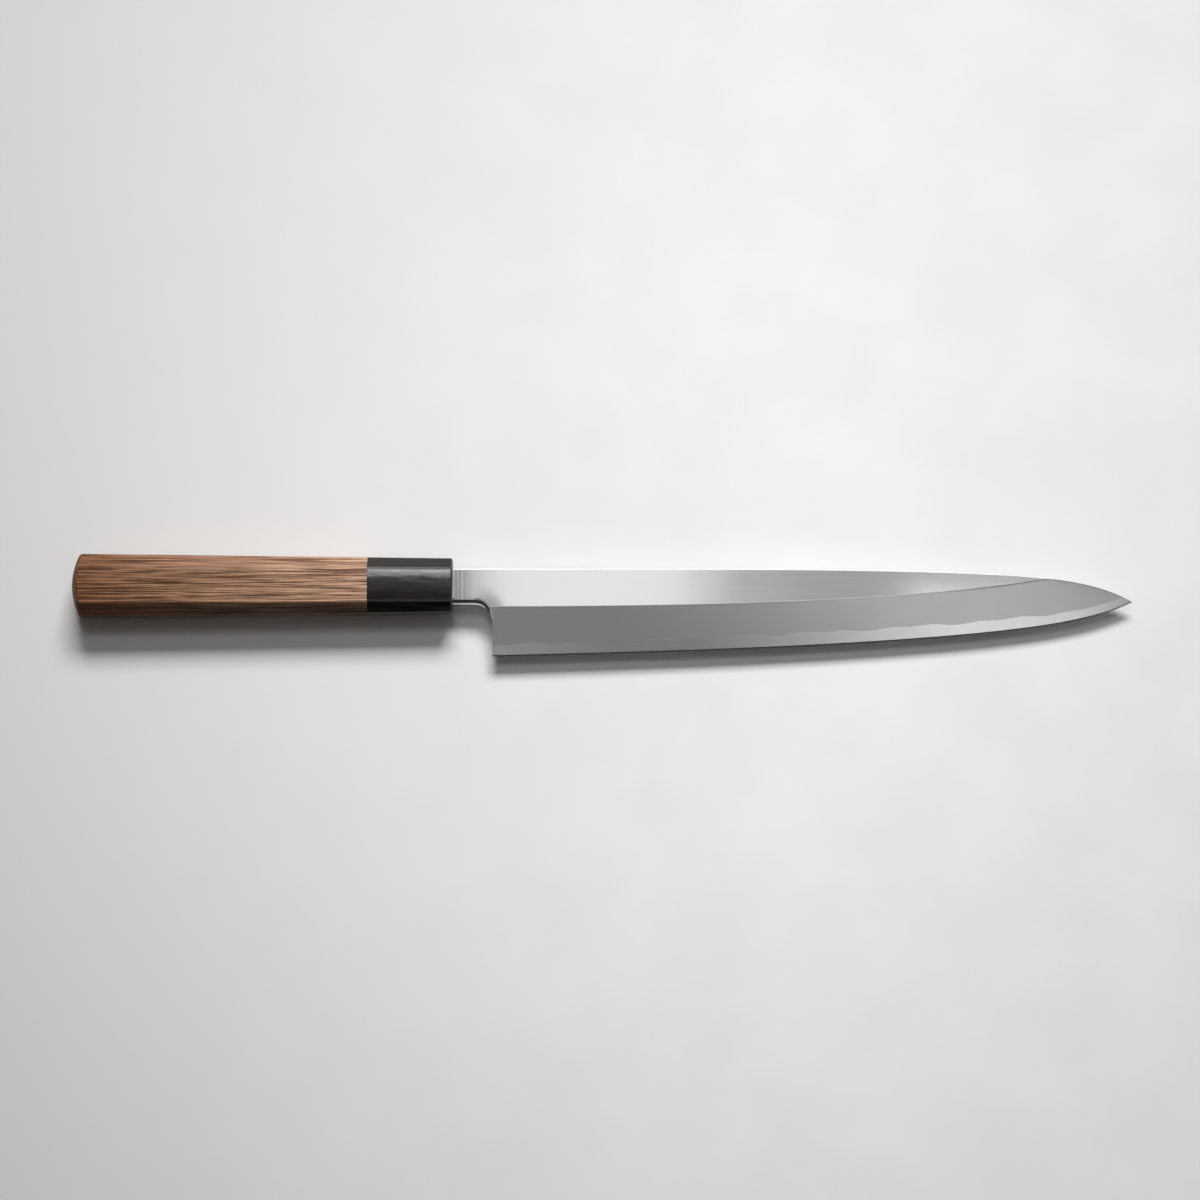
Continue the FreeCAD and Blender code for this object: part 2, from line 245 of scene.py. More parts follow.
TANG_CUTS = 8
NECK_CUTS = 12
CHOIL_CUTS = 12
HEEL_CUTS = 12
EDGE_CUTS = 150
END_CROWDING = 0.88          # how much closer the cuts lie at heel and point
END_GAP = 0.0002             # how close other cuts come to the one where the iron ends
HEEL_LEAD = 0.006            # how far ahead the cuts from the heel meet the spine
LEAD_FADE = 0.030


def neck_cuts():
    cuts = []
    line = [NECK_LINE_X + NECK_LINE_WIDTH * share for share in (-1, -0.5, 0, 0.5, 1)]
    for x in [0, NECK_LINE_X / 3] + line + shares(NECK_CUTS, 2 * NECK_LINE_X, LAP_X):
        arc = math.sqrt(CHOIL_RADIUS ** 2 - max(x - CHOIL_X, 0) ** 2)
        cuts.append(Cut(x, x, CHOIL_Y + arc))
    return cuts


def blade_cuts():
    """Cuts from the lap of the steel on, round the choil, down the heel and along the edge."""
    cuts = []
    lap_angle = math.acos((LAP_X - CHOIL_X) / CHOIL_RADIUS)
    for share in shares(CHOIL_CUTS):
        angle = lap_angle * (1 - share)
        x = CHOIL_X + CHOIL_RADIUS * math.cos(angle)
        cuts.append(Cut(x, x, CHOIL_Y + CHOIL_RADIUS * math.sin(angle)))
    for share in shares(HEEL_CUTS)[1:-1]:
        cuts.append(Cut(HEEL_X + HEEL_LEAD * share, HEEL_X, CHOIL_Y + (HEEL_Y - CHOIL_Y) * share))
    for share in shares(EDGE_CUTS):
        crowded = share - END_CROWDING * math.sin(2 * math.pi * share) / (2 * math.pi)
        x = HEEL_X + (EDGE_LENGTH - POINT_WEAR) * crowded
        lead = HEEL_LEAD * math.exp((HEEL_X - x) / LEAD_FADE) * (1 - crowded)
        cuts.append(Cut(x + lead, x, edge_y(x)))
    return cuts


# Each section has its points at these shares of its flat, bevel and underside.
FLAT_SHARES = (0, 0.02, 0.15, 0.3, 0.45, 0.6, 0.75, 0.9, 0.985)
LIP_SHARE = 0.03             # where the dip below the ridge is deepest
BEVEL_SHARES = (0, 0.012, LIP_SHARE, 0.06, 0.15, 0.3, 0.45, 0.6, 0.75, 0.9, 0.985, 1)
UNDER_SHARES = (0.12, 0.25, 0.4, 0.55, 0.7, 0.85)
UNDER_POINTS = 2 * BACK_STEPS + len(UNDER_SHARES)


def under_shares(cut, end):
    """Across the underside from the spine to where the cut ends, closer where its sides are rounded."""
    ease = rounding_steps(BACK_EASE, BACK_STEPS)
    near = [min(d / cut.length, end / 2) for d in ease]
    far = [max(end - d / cut.length, end / 2) for d in reversed(ease)]
    return near + [near[-1] + (far[0] - near[-1]) * s for s in UNDER_SHARES] + far


def iron_ring(cut, under):
    """The iron's section along a cut: over the front from spine to weld line, then back underneath."""
    ridge = cut.until(lambda x, y: bevel_height(x, y) > flat_face(x, y))
    end = cut.until(lambda x, y: front_height(x, y) > under(x, y))
    ease = [d / cut.length for d in rounding_steps(SPINE_EASE, FRONT_STEPS)]
    radius, steep = neck_ease(*cut.low)
    low_ease = [radius * (math.sin(steep) - math.sin(steep * share)) for share in shares(FRONT_STEPS)]
    low = [cut.until(lambda x, y: neck_distance(x, y) > d) for d in low_ease]
    limit = end if cut.low.x > HEEL_X else min(end, low[0])
    ridge = min(ridge, limit)
    flat_start = min(ease[-1], ridge)
    front = [min(e, flat_start) for e in ease]
    front += [flat_start + (ridge - flat_start) * s for s in FLAT_SHARES]
    front += [ridge + (limit - ridge) * s for s in BEVEL_SHARES]
    front += [min(end, max(share, limit)) for share in low]
    dips = [0] * len(front)
    if cut.low.x > HEEL_X:
        for i, s in enumerate(BEVEL_SHARES):
            dips[FRONT_STEPS + len(FLAT_SHARES) + i] = min(s / LIP_SHARE, 1) * (1 - s)
    ring = []
    for share, dip in zip(front, dips):
        x, y = cut.at(share)
        dip *= RIDGE_LIP * min(max((x - RIDGE_LIP_X) / RIDGE_LIP_FADE, RIDGE_LIP_HEEL), 1)
        ring.append((x, y, max(front_height(x, y) - dip, under(x, y))))
    for share in reversed(under_shares(cut, end)):
        x, y = cut.at(share)
        ring.append((x, y, under(x, y)))
    return ring


def tang_ring(x, pattern):
    """A section of the tang, with as many points as the neck's."""
    half_height = (TANG_HEIGHT + (TAIL_HEIGHT - TANG_HEIGHT) * -x / TANG_LENGTH) / 2
    half_thickness = (NECK_THICKNESS + (TAIL_THICKNESS - NECK_THICKNESS) * -x / TANG_LENGTH) / 2
    front = len(pattern) - UNDER_POINTS
    ring = []
    for i, point in enumerate(pattern):
        side = half_thickness if i < front else -half_thickness
        across = 2 * (point[1] - NECK_Y) / (SPINE_Y - NECK_Y) - 1
        ring.append((x, across * half_height, NECK_THICKNESS / 2 + side))
    return ring


MERGE = 1e-7                 # points closer than this become one
CREASE = math.radians(28)    # where two faces turn by more, the line between them stays crisp


def skin(name, rings, place, cap_start=False, cap_end=False, closed=False, finishes=None, wear=None):
    """A piece made of rings with like points: faces between each ring and the next, and over the ends.

    For each ring and point, finishes tells which material the face there has, and the second list how much
    it is rubbed, which on the grip also sets a painted highlight.
    """
    form = bmesh.new()
    worn_and_lit = form.verts.layers.float.new("wear")
    verts = [[form.verts.new(place @ Vector(point)) for point in ring] for ring in rings]
    count = len(rings[0])
    for i, ring in enumerate(verts):
        for j, vert in enumerate(ring):
            vert[worn_and_lit] = wear[i][j] if wear else 0
    pairs = list(zip(verts, verts[1:]))
    if closed:
        pairs.append((verts[-1], verts[0]))
    for i, (first, second) in enumerate(pairs):
        for j in range(count):
            k = (j + 1) % count
            face = form.faces.new((first[j], first[k], second[k], second[j]))
            face.material_index = finishes[i][j] if finishes else 0
    for wanted, ring in ((cap_start, verts[0]), (cap_end, verts[-1])):
        if wanted:
            form.faces.new(ring)
    bmesh.ops.remove_doubles(form, verts=form.verts, dist=MERGE)
    bmesh.ops.dissolve_degenerate(form, edges=form.edges, dist=MERGE)
    bmesh.ops.recalc_face_normals(form, faces=form.faces)
    mesh = bpy.data.meshes.new(name)
    form.to_mesh(mesh)
    form.free()
    mesh.shade_smooth()
    mesh.set_sharp_from_angle(angle=CREASE)
    piece = bpy.data.objects.new(name, mesh)
    bpy.context.scene.collection.objects.link(piece)
    even = piece.modifiers.new("even_shading", "WEIGHTED_NORMAL")
    even.keep_sharp = True
    return piece


def iron_under(x, y):
    """The iron's underside at the neck."""
    return rounded_off(BACK_EASE, side_distance(x, y))


def weld_under(x, y):
    """The iron's underside over the cutting steel."""
    return weld_height(x)


blade_place = knife @ Matrix.Translation((0, 0, -NECK_THICKNESS / 2))
# The weld line runs out at the spine, close to the point, and the iron ends there.
iron_end = last_place(BEND_X, TIP_X, lambda x: front_height(x, spine_y(x)) > weld_height(x))
iron_cuts = [cut for cut in blade_cuts() if cut.top.x < iron_end - END_GAP]
steel_cuts = [cut for cut in blade_cuts() if cut.top.x > iron_end + END_GAP]
last_cut = Cut(iron_end, iron_end, edge_y(iron_end))
neck_rings = [iron_ring(cut, iron_under) for cut in neck_cuts()]
rings = [tang_ring(x, neck_rings[0]) for x in shares(TANG_CUTS, -TANG_LENGTH, 0)]
rings += neck_rings
rings += [iron_ring(cut, weld_under) for cut in iron_cuts]
rings.append([(*last_cut.top, weld_height(last_cut.top.x))] * len(rings[0]))
FLAT, BEVEL, SPINE = 0, 1, 2  # the iron's materials in their order
bevel_start = FRONT_STEPS + len(FLAT_SHARES) - 1
bevel_end = bevel_start + len(BEVEL_SHARES) + 1
low_end = bevel_end + FRONT_STEPS
heel_start = len(rings) - len(iron_cuts) + CHOIL_CUTS - 2
iron_finishes = []
for i in range(len(rings)):
    end = low_end if i >= heel_start else bevel_end
    finishes = [BEVEL if bevel_start <= j < end else FLAT for j in range(len(rings[0]))]
    finishes[:FRONT_STEPS - 1] = [SPINE] * (FRONT_STEPS - 1)
    finishes[-1] = SPINE
    iron_finishes.append(finishes)
blade_body = skin("blade_body_iron", rings, blade_place, cap_start=True, finishes=iron_finishes)
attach(blade_body, "root")
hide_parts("blade_body")


def node(tree, kind, inputs=None, **settings):
    """A shader node with its settings, and with each input set to a value or linked to a socket."""
    made = tree.nodes.new(kind)
    for key, value in settings.items():
        setattr(made, key, value)
    for key, value in (inputs or {}).items():
        if isinstance(value, bpy.types.NodeSocket):
            tree.links.new(value, made.inputs[key])
        else:
            made.inputs[key].default_value = value
    return made


def finish(name, **constants):
    """A new material, with its shader and the constants set on the shader."""
    made = bpy.data.materials.new(name)
    made.use_nodes = True
    shader = made.node_tree.nodes["Principled BSDF"]
    for key, value in constants.items():
        shader.inputs[key.replace("_", " ")].default_value = value
    return made, made.node_tree, shader


def spot(tree):
    """The place on the object in metres."""
    return node(tree, "ShaderNodeTexCoord").outputs["Object"]


def spot_axes(tree):
    """The same, with one socket for each axis."""
    return node(tree, "ShaderNodeSeparateXYZ", {0: spot(tree)}).outputs


def noise(tree, scale, detail, roughness=0.5, at=None):
    """Soft noise over the object, or over other coordinates, stretched by a scale per metre."""
    place = spot(tree) if at is None else at
    stretched = node(tree, "ShaderNodeMapping", {"Vector": place, "Scale": scale}).outputs[0]
    return node(tree, "ShaderNodeTexNoise", {"Vector": stretched, "Scale": 1, "Detail": detail,
                                             "Roughness": roughness}).outputs


NOISE_RANGE = (0.3, 0.7)     # where most values of such noise lie


def ramp(tree, value, low, high, to_low=0.0, to_high=1.0):
    """A value carried from one range into another, and held at the ends of it."""
    return node(tree, "ShaderNodeMapRange", {"Value": value, "From Min": low, "From Max": high,
                                             "To Min": to_low, "To Max": to_high}).outputs[0]


def lengthwise(tree, start, end, first, last):
    """A value that changes along the knife between two places, given from the ferrule's face."""
    face_x = slide["pos_m"][0]
    return ramp(tree, spot_axes(tree)["X"], face_x + start, face_x + end, first, last)


def combine(tree, operation, first, second, **settings):
    """Two values put together by an operation such as ADD."""
    return node(tree, "ShaderNodeMath", {0: first, 1: second}, operation=operation, **settings).outputs[0]


def mix(tree, share, first, second):
    """A colour between two, by a share."""
    made = node(tree, "ShaderNodeMix", {0: share, 6: first, 7: second}, data_type="RGBA")
    return made.outputs[2]


def relief(tree, height, depth, **under):
    """The normal of a surface that rises and falls by a depth."""
    return node(tree, "ShaderNodeBump", {"Height": height, "Strength": 1.0, "Distance": depth,
                                         **under}).outputs[0]


POLISH_CLOUDS = (40, 90, 90)


def stone_lines_group():
    """The lines that a stone or belt leaves in steel, and the soft clouds in its polish."""
    group = bpy.data.node_groups.new("stone_lines", "ShaderNodeTree")
    for name in ("Along", "Across"):
        socket = group.interface.new_socket(name, in_out="INPUT", socket_type="NodeSocketFloat")
        socket.default_value = 100
    for name in ("Lines", "Clouds"):
        group.interface.new_socket(name, in_out="OUTPUT", socket_type="NodeSocketFloat")
    given = group.nodes.new("NodeGroupInput").outputs
    scale = node(group, "ShaderNodeCombineXYZ", {"X": given["Along"], "Y": given["Across"],
                                                 "Z": given["Across"]}).outputs[0]
    outputs = group.nodes.new("NodeGroupOutput").inputs
    group.links.new(noise(group, scale, 4, 0.6)[0], outputs["Lines"])
    group.links.new(noise(group, POLISH_CLOUDS, 3, 0.55)[0], outputs["Clouds"])
    return group


stone_lines = stone_lines_group()
# The bevel's and band's haze and the neck's painted shade all mix this colour in.
HAZE_AND_SHADE_COLOUR = (0.30, 0.30, 0.30, 1)
LINE_ROUGHNESS = 0.01        # what the lines add to the roughness or take off
POINT_HAZE = 0.42            # how thick the bevel's haze gets
POINT_HAZE_START = 0.1732    # it thickens between these places
POINT_HAZE_FULL = 0.2432
FILED_SHADE_START = 0.0015         # the filed marks and their painted shade fade out between these
FILED_SHADE_END = 0.008
FILED_SCALE = (1100, 25, 25)


def point_haze(tree):
    """The bevel's haze, which gets thicker towards the point."""
    return lengthwise(tree, POINT_HAZE_START, POINT_HAZE_FULL, 0, POINT_HAZE)


def neck_marks_and_shade(tree):
    """Fine marks filed across the flat, darkened as painted shade close to the ferrule's face."""
    marks = ramp(tree, noise(tree, FILED_SCALE, 3)[0], 0.35, 0.60, 0.1, 0.75)
    return combine(tree, "MULTIPLY", marks, lengthwise(tree, FILED_SHADE_START, FILED_SHADE_END, 1, 0))


def ground_steel(name, colours, roughness, along, across, depth, shade=None):
    """Ground and stoned steel: lines in its colour, roughness and surface, clouds in its polish."""
    made, tree, shader = finish(name, Metallic=1.0)
    marks = node(tree, "ShaderNodeGroup", {"Along": along, "Across": across}, node_tree=stone_lines).outputs
    lines = ramp(tree, marks["Lines"], *NOISE_RANGE)
    clouds = ramp(tree, marks["Clouds"], *NOISE_RANGE)
    colour = mix(tree, lines, *colours)
    if shade:
        colour = mix(tree, shade(tree), colour, HAZE_AND_SHADE_COLOUR)
    tree.links.new(colour, shader.inputs["Base Color"])
    rough = combine(tree, "ADD", ramp(tree, clouds, 0, 1, *roughness),
                    ramp(tree, lines, 0, 1, -LINE_ROUGHNESS, LINE_ROUGHNESS))
    tree.links.new(rough, shader.inputs["Roughness"])
    tree.links.new(relief(tree, lines, depth), shader.inputs["Normal"])
    return made


blade_body.data.materials.append(ground_steel(
    "iron_flat", colours=((0.665, 0.665, 0.66, 1), (0.695, 0.695, 0.69, 1)), roughness=(0.06, 0.075),
    along=12, across=2500, depth=0.0000002, shade=neck_marks_and_shade))
blade_body.data.materials.append(ground_steel(
    "iron_bevel", colours=((0.530, 0.530, 0.530, 1), (0.565, 0.565, 0.565, 1)), roughness=(0.21, 0.24),
    along=12, across=1600, depth=0.0000006, shade=point_haze))
blade_body.data.materials.append(ground_steel(
    "iron_spine", colours=((0.54, 0.54, 0.54, 1), (0.62, 0.62, 0.62, 1)), roughness=(0.36, 0.42),
    along=12, across=1600, depth=0.000001))


# Cutting steel
# A layer of hard steel is forge-welded over the whole back of the blade. It shows on the bevel as a
# brighter band along the edge. Its back is ground hollow on a large wheel, so that only a flat rim meets
# the stone.
HOLLOW_RADIUS = 0.230        # of the grinding wheel
HOLLOW_SPINE_RIM = 0.0026
HOLLOW_EDGE_RIM = 0.0014
HOLLOW_HEEL_RIM = 0.003
HOLLOW_POINT_RIM = 0.014
HOLLOW_FADE = 0.009          # length over which the hollow runs out at its ends


def hollow_depth(x, y):
    low = edge_y(x) + HOLLOW_EDGE_RIM
    high = spine_y(x) - HOLLOW_SPINE_RIM
    start = HEEL_X + HOLLOW_HEEL_RIM
    end = TIP_X - HOLLOW_POINT_RIM
    if not (low < y < high and start < x < end):
        return 0
    fade = min((x - start) / HOLLOW_FADE, (end - x) / HOLLOW_FADE, 1)
    return (y - low) * (high - y) / (2 * HOLLOW_RADIUS) * math.sin(math.pi / 2 * fade) ** 2


def back_height(x, y):
    ease = min(BACK_EASE, front_height(x, y) / 2)
    return rounded_off(ease, side_distance(x, y)) + hollow_depth(x, y)


BAND_SHARES = (0, 0.02, 0.15, 0.35, 0.55, 0.75, 0.9, 0.98)
MICRO_SHARES = (0, 0.1, 0.5, 0.9, 1)
HOLLOW_SHARES = shares(15)
HOLLOW_LEAST = 0.005         # share of a cut that is kept for these where the rims meet


def steel_ring(cut):
    """The steel's section along a cut: under the iron, down the bevel to the edge, back over the hollow."""
    end = cut.until(lambda x, y: front_height(x, y) > weld_height(x))
    micro = max(cut.until(lambda x, y: y > edge_y(x) + MICRO_BEVEL_WIDTH), end)
    low = max(cut.until(lambda x, y: y > edge_y(x) + HOLLOW_EDGE_RIM), 2 * HOLLOW_LEAST)
    high = min(cut.until(lambda x, y: y > spine_y(x) - HOLLOW_SPINE_RIM), low - HOLLOW_LEAST)
    front = under_shares(cut, end)
    front += [end + (micro - end) * s for s in BAND_SHARES]
    front += [micro + (1 - micro) * s for s in MICRO_SHARES]
    ease = [d / cut.length for d in rounding_steps(BACK_EASE, BACK_STEPS)]
    back = [max(1 - e, low) for e in ease]
    back += [low + (high - low) * s for s in HOLLOW_SHARES]
    back += [min(e, max(high, 0)) for e in reversed(ease)]
    ring = []
    for share in front:
        x, y = cut.at(share)
        ring.append((x, y, min(weld_height(x), front_height(x, y))))
    for share in back:
        x, y = cut.at(min(max(share, 0), 1))
        ring.append((x, y, back_height(x, y)))
    return ring


rings = [steel_ring(cut) for cut in iron_cuts + [last_cut] + steel_cuts]
BAND, BACK = 0, 1            # the steel's materials in their order
band_start = UNDER_POINTS - 1
band_end = band_start + len(BAND_SHARES) + len(MICRO_SHARES)
finishes = [BAND if band_start <= j < band_end else BACK for j in range(len(rings[0]))]
edge_steel = skin("edge_steel_layer", rings, blade_place, cap_start=True, cap_end=True,
                  finishes=[finishes] * len(rings))
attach(edge_steel, "root")
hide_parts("edge_steel")

BAND_HEEL_HAZE = 0.34        # how thick the band's haze is along the rear
BAND_HEEL_FADE = 0.1382      # it runs out between these places
BAND_HEEL_END = 0.1882
BAND_POINT_HAZE = 0.27       # how thick it gets at the point
BAND_POINT_START = 0.1932    # it thickens again between these
BAND_POINT_FULL = 0.2432


def band_haze(tree):
    """The haze that the stones have left on the rear half of the band and, thinner, at the point."""
    heel = lengthwise(tree, BAND_HEEL_FADE, BAND_HEEL_END, BAND_HEEL_HAZE, 0)
    point = lengthwise(tree, BAND_POINT_START, BAND_POINT_FULL, 0, BAND_POINT_HAZE)
    return combine(tree, "ADD", heel, point)


edge_steel.data.materials.append(ground_steel(
    "steel_band", colours=((0.755, 0.755, 0.76, 1), (0.785, 0.785, 0.79, 1)), roughness=(0.16, 0.19),
    along=15, across=3000, depth=0.0000004, shade=band_haze))
edge_steel.data.materials.append(ground_steel(
    "steel_back", colours=((0.62, 0.62, 0.63, 1), (0.70, 0.70, 0.71, 1)), roughness=(0.16, 0.24),
    along=15, across=1800, depth=0.000004))


# Ferrule
# The collar in front of the grip is black horn, bored from behind for the dowel and slotted in front for
# the neck. It is glued on and then sanded down with the grip, so its eight facets run on in the wood's,
# a little crowned.
SIDES = 8
HANDLE_LENGTH = 0.142
FERRULE_LENGTH = 0.0315
FRONT_WIDTH = 0.0208         # along the blade's height, at the ferrule's face
FRONT_THICKNESS = 0.0193
FRONT_FACET = 0.0041         # leg of the corner facets at the ferrule's face
BUTT_WIDTH = 0.024
BUTT_THICKNESS = 0.0214
BUTT_FACET = 0.0052
FACET_EASE = 0.0004          # rounding along the facets
FLAT_CROWN = 0.00040         # how far sanding has rounded the wide sides
FACET_CROWN = 0.00003
FRONT_EASE = 0.0005          # rounding round the ferrule's face
FACE_INSET = 1.3 * FRONT_EASE  # from the outside to where the face is flat
SEAM_EASE = 0.00006          # rounding of both pieces at the seam between them
SEAM_REACH = 0.0006          # from the seam to the next section
FERRULE_WEB = 0.006          # depth of the slotted front wall
BORE_RADIUS = 0.00765
MOUTH_ROOM = 0.0006
MOUTH_HEIGHT = TANG_HEIGHT + MOUTH_ROOM
MOUTH_THICKNESS = NECK_THICKNESS + MOUTH_ROOM
FERRULE_CUTS = 12
CORNER_POINTS = 6
SIDE_POINTS = 13
RUBBED_LIT_CORNERS = 3           # the corners that the palm rubs, which face the lamp and get a painted highlight on the grip


def handle_ring(x, inset=0.0):
    """The handle's section: eight sides, each a little crowned, with rounded corners between them."""
    share = -x / HANDLE_LENGTH
    half_width = (FRONT_WIDTH + (BUTT_WIDTH - FRONT_WIDTH) * share) / 2 - inset
    half_thickness = (FRONT_THICKNESS + (BUTT_THICKNESS - FRONT_THICKNESS) * share) / 2 - inset
    facet = FRONT_FACET + (BUTT_FACET - FRONT_FACET) * share - inset * (2 - math.sqrt(2))
    reach = half_width + half_thickness - facet - FLAT_CROWN
    y, z = half_width - FLAT_CROWN, half_thickness - FLAT_CROWN
    corners = [(y, reach - y), (reach - z, z), (z - reach, z), (-y, reach - y),
               (-y, y - reach), (z - reach, -z), (reach - z, -z), (y, y - reach)]
    corners = [Vector(corner) for corner in corners]
    ease = max(FACET_EASE - inset, FACET_EASE / 4)
    tangent = ease * math.tan(math.pi / SIDES)
    ring = []
    for i, corner in enumerate(corners):
        before = corners[i - 1]
        after = corners[(i + 1) % SIDES]
        arrive = (corner - before).normalized()
        leave = (after - corner).normalized()
        crowns = (FLAT_CROWN, FACET_CROWN) if i % 2 == 0 else (FACET_CROWN, FLAT_CROWN)
        turned_in = math.atan(4 * crowns[0] / (corner - before).length)
        turned_out = math.pi / 4 - math.atan(4 * crowns[1] / (after - corner).length)
        centre = corner - arrive * tangent + Vector((-arrive.y, arrive.x)) * ease
        for angle in shares(CORNER_POINTS, turned_in, turned_out):
            turn = Vector((arrive.y, -arrive.x))
            turn.rotate(Matrix.Rotation(angle, 2))
            ring.append((x, *(centre + turn * ease)))
        start = corner + leave * tangent
        side = after - leave * tangent - start
        outward = Vector((leave.y, -leave.x))
        for s in shares(SIDE_POINTS)[1:-1]:
            ring.append((x, *(start + side * s + outward * (4 * crowns[1] * s * (1 - s)))))
    return ring


def corner_wear_and_highlight(count, first, last, ends):
    """How much some rings are rubbed and, on the grip, highlighted: fully on rubbed corners, evenly on end
    rings.
    """
    side = [0.0] * (SIDE_POINTS - 2)
    outside = RUBBED_LIT_CORNERS * ([1.0] * CORNER_POINTS + side)
    outside += (SIDES - RUBBED_LIT_CORNERS) * ([0.0] * CORNER_POINTS + side)
    return [outside if first <= i < last else [ends] * len(outside) for i in range(count)]


def bore_ring(x, radius):
    """A round bore's section, with its points in line with those of the outside."""
    ring = []
    for _, y, z in handle_ring(x):
        angle = math.atan2(z, y)
        ring.append((x, radius * math.cos(angle), radius * math.sin(angle)))
    return ring


def slot_ring(x, height, thickness):
    """A slot's section, with its points in line with those of the outside and one on each corner."""
    ring = []
    for _, y, z in handle_ring(x):
        reach = min(height / 2 / max(abs(y), TINY), thickness / 2 / max(abs(z), TINY))
        ring.append((x, y * reach, z * reach))
    for y in (height / 2, -height / 2):
        for z in (thickness / 2, -thickness / 2):
            nearest = min(range(len(ring)), key=lambda i: math.hypot(ring[i][1] - y, ring[i][2] - z))
            ring[nearest] = (x, y, z)
    return ring


JOINT_X = -FERRULE_LENGTH
inside = [bore_ring(-FERRULE_WEB, BORE_RADIUS), bore_ring(JOINT_X, BORE_RADIUS)]
outside = [handle_ring(JOINT_X, SEAM_EASE), handle_ring(JOINT_X + SEAM_EASE)]
outside += [handle_ring(x) for x in shares(FERRULE_CUTS, JOINT_X + SEAM_REACH, -FRONT_EASE)]
for share in shares(FRONT_STEPS)[1:]:
    turn = math.pi / 2 * share
    outside.append(handle_ring(FRONT_EASE * (math.sin(turn) - 1), FRONT_EASE * (1 - math.cos(turn))))
mouth = [handle_ring(0, FACE_INSET)]
mouth += [slot_ring(x, MOUTH_HEIGHT, MOUTH_THICKNESS) for x in (0, -FERRULE_WEB)]
rings = inside + outside + mouth
rubbed = corner_wear_and_highlight(len(rings), len(inside), len(inside + outside), ends=1.0)
ferrule = skin("ferrule_horn", rings, knife, closed=True, wear=rubbed)
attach(ferrule, "root")
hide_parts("ferrule")

HORN_DARK = (0.0022, 0.0010, 0.0011, 1)
HORN_CLOUD = (0.0065, 0.0035, 0.0036, 1)
HORN_FIBRE = (0.0110, 0.0070, 0.0070, 1)
horn, tree, shader = finish("polished_horn", IOR=1.54, Specular_IOR_Level=0.5)
fibres = noise(tree, (60, 900, 900), 4)[0]
clouds = noise(tree, (120, 260, 260), 3)[0]
fibre_mask = ramp(tree, fibres, 0.45, 0.75)
cloud_mask = ramp(tree, clouds, 0.4, 0.7)
colour = mix(tree, cloud_mask, HORN_DARK, HORN_CLOUD)
colour = mix(tree, fibre_mask, colour, HORN_FIBRE)
tree.links.new(colour, shader.inputs["Base Color"])
worn_and_lit = node(tree, "ShaderNodeAttribute", attribute_name="wear").outputs["Fac"]
rough = combine(tree, "ADD", ramp(tree, fibre_mask, 0, 1, 0.13, 0.20), ramp(tree, worn_and_lit, 0, 1, 0, 0.30))
tree.links.new(rough, shader.inputs["Roughness"])
waves = relief(tree, clouds, 0.00006)
tree.links.new(relief(tree, fibres, 0.000008, Normal=waves), shader.inputs["Normal"])
ferrule.data.materials.append(horn)


# Dowel
# A dowel of plain hardwood joins ferrule and grip. It is glued into the bores of both, and mortised for
# the tang.
GRAIN_WANDER = 0.0005        # how far the grain strays
DOWEL_DARK = (0.38, 0.24, 0.12, 1)
DOWEL_LIGHT = (0.58, 0.42, 0.25, 1)
DOWEL_PORE = (0.22, 0.13, 0.06, 1)


def timber_group():
    """Wood with fibres along the handle: broad tones, and bands, fibres and pores that wander a little."""
    group = bpy.data.node_groups.new("timber", "ShaderNodeTree")
    for name in ("Tones", "Bands", "Fibres", "Pores", "Fine pores"):
        group.interface.new_socket(name, in_out="OUTPUT", socket_type="NodeSocketFloat")
    outputs = group.nodes.new("NodeGroupOutput").inputs
    group.links.new(noise(group, (7, 110, 110), 2.0, 0.55)[0], outputs["Tones"])
    grain = noise(group, (11, 45, 45), 2.0, 0.55)["Color"]
    for operation, other in (("SUBTRACT", (0.5, 0.5, 0.5)), ("MULTIPLY", (0, GRAIN_WANDER, GRAIN_WANDER)),
                             ("ADD", spot(group))):
        grain = node(group, "ShaderNodeVectorMath", {0: grain, 1: other}, operation=operation).outputs[0]
    for name, scale, detail, roughness in (("Bands", (6, 1400, 1400), 3.0, 0.6),
                                           ("Fibres", (11, 2900, 2900), 3.0, 0.5),
                                           ("Pores", (28, 2600, 2600), 2.0, 0.5),
                                           ("Fine pores", (70, 3600, 3600), 2.0, 0.5)):
        group.links.new(noise(group, scale, detail, roughness, at=grain)[0], outputs[name])
    return group


timber = timber_group()
dowel_wood, tree, shader = finish("dowel_wood", Roughness=0.6)
grain = node(tree, "ShaderNodeGroup", node_tree=timber).outputs
colour = mix(tree, ramp(tree, grain["Fibres"], *NOISE_RANGE), DOWEL_DARK, DOWEL_LIGHT)
colour = mix(tree, ramp(tree, grain["Pores"], 0.62, 0.72), colour, DOWEL_PORE)
tree.links.new(colour, shader.inputs["Base Color"])
tree.links.new(relief(tree, grain["Fibres"], 0.00004), shader.inputs["Normal"])
frame["nodes"]["tang_dowel"].material_slots[0].material = dowel_wood


# Grip
# The grip is one piece of walnut with straight grain, planed to eight sides that taper towards the
# ferrule, bored for the dowel and the tail of the tang, and domed at the butt. It is sanded and oiled,
# so the pores stay open.
BUTT_DOME = 0.025            # radius of the domed butt
BUTT_EASE = 0.0010           # rounding round it
BUTT_RIM = 0.003             # from the end of the butt to where its rim is measured
BUTT_REACH = 0.006           # from the end of the butt to the last section of the straight part
DOME_SHARES = (0.93, 0.8, 0.65, 0.5, 0.35, 0.2, 0.08, 0)
GRIP_CUTS = 30
DOWEL_IN_GRIP = 0.028
PILOT_RADIUS = 0.004865
TAIL_ROOM = 0.003
DRILL_SLOPE = math.tan(math.radians(118 / 2))


def domed(ring, back_off=0.0):
    """A ring pushed on to the domed butt, or a little in front of it."""
    middle = BUTT_DOME - HANDLE_LENGTH
    return [(middle - math.sqrt(BUTT_DOME ** 2 - y ** 2 - z ** 2) + back_off, y, z) for _, y, z in ring]


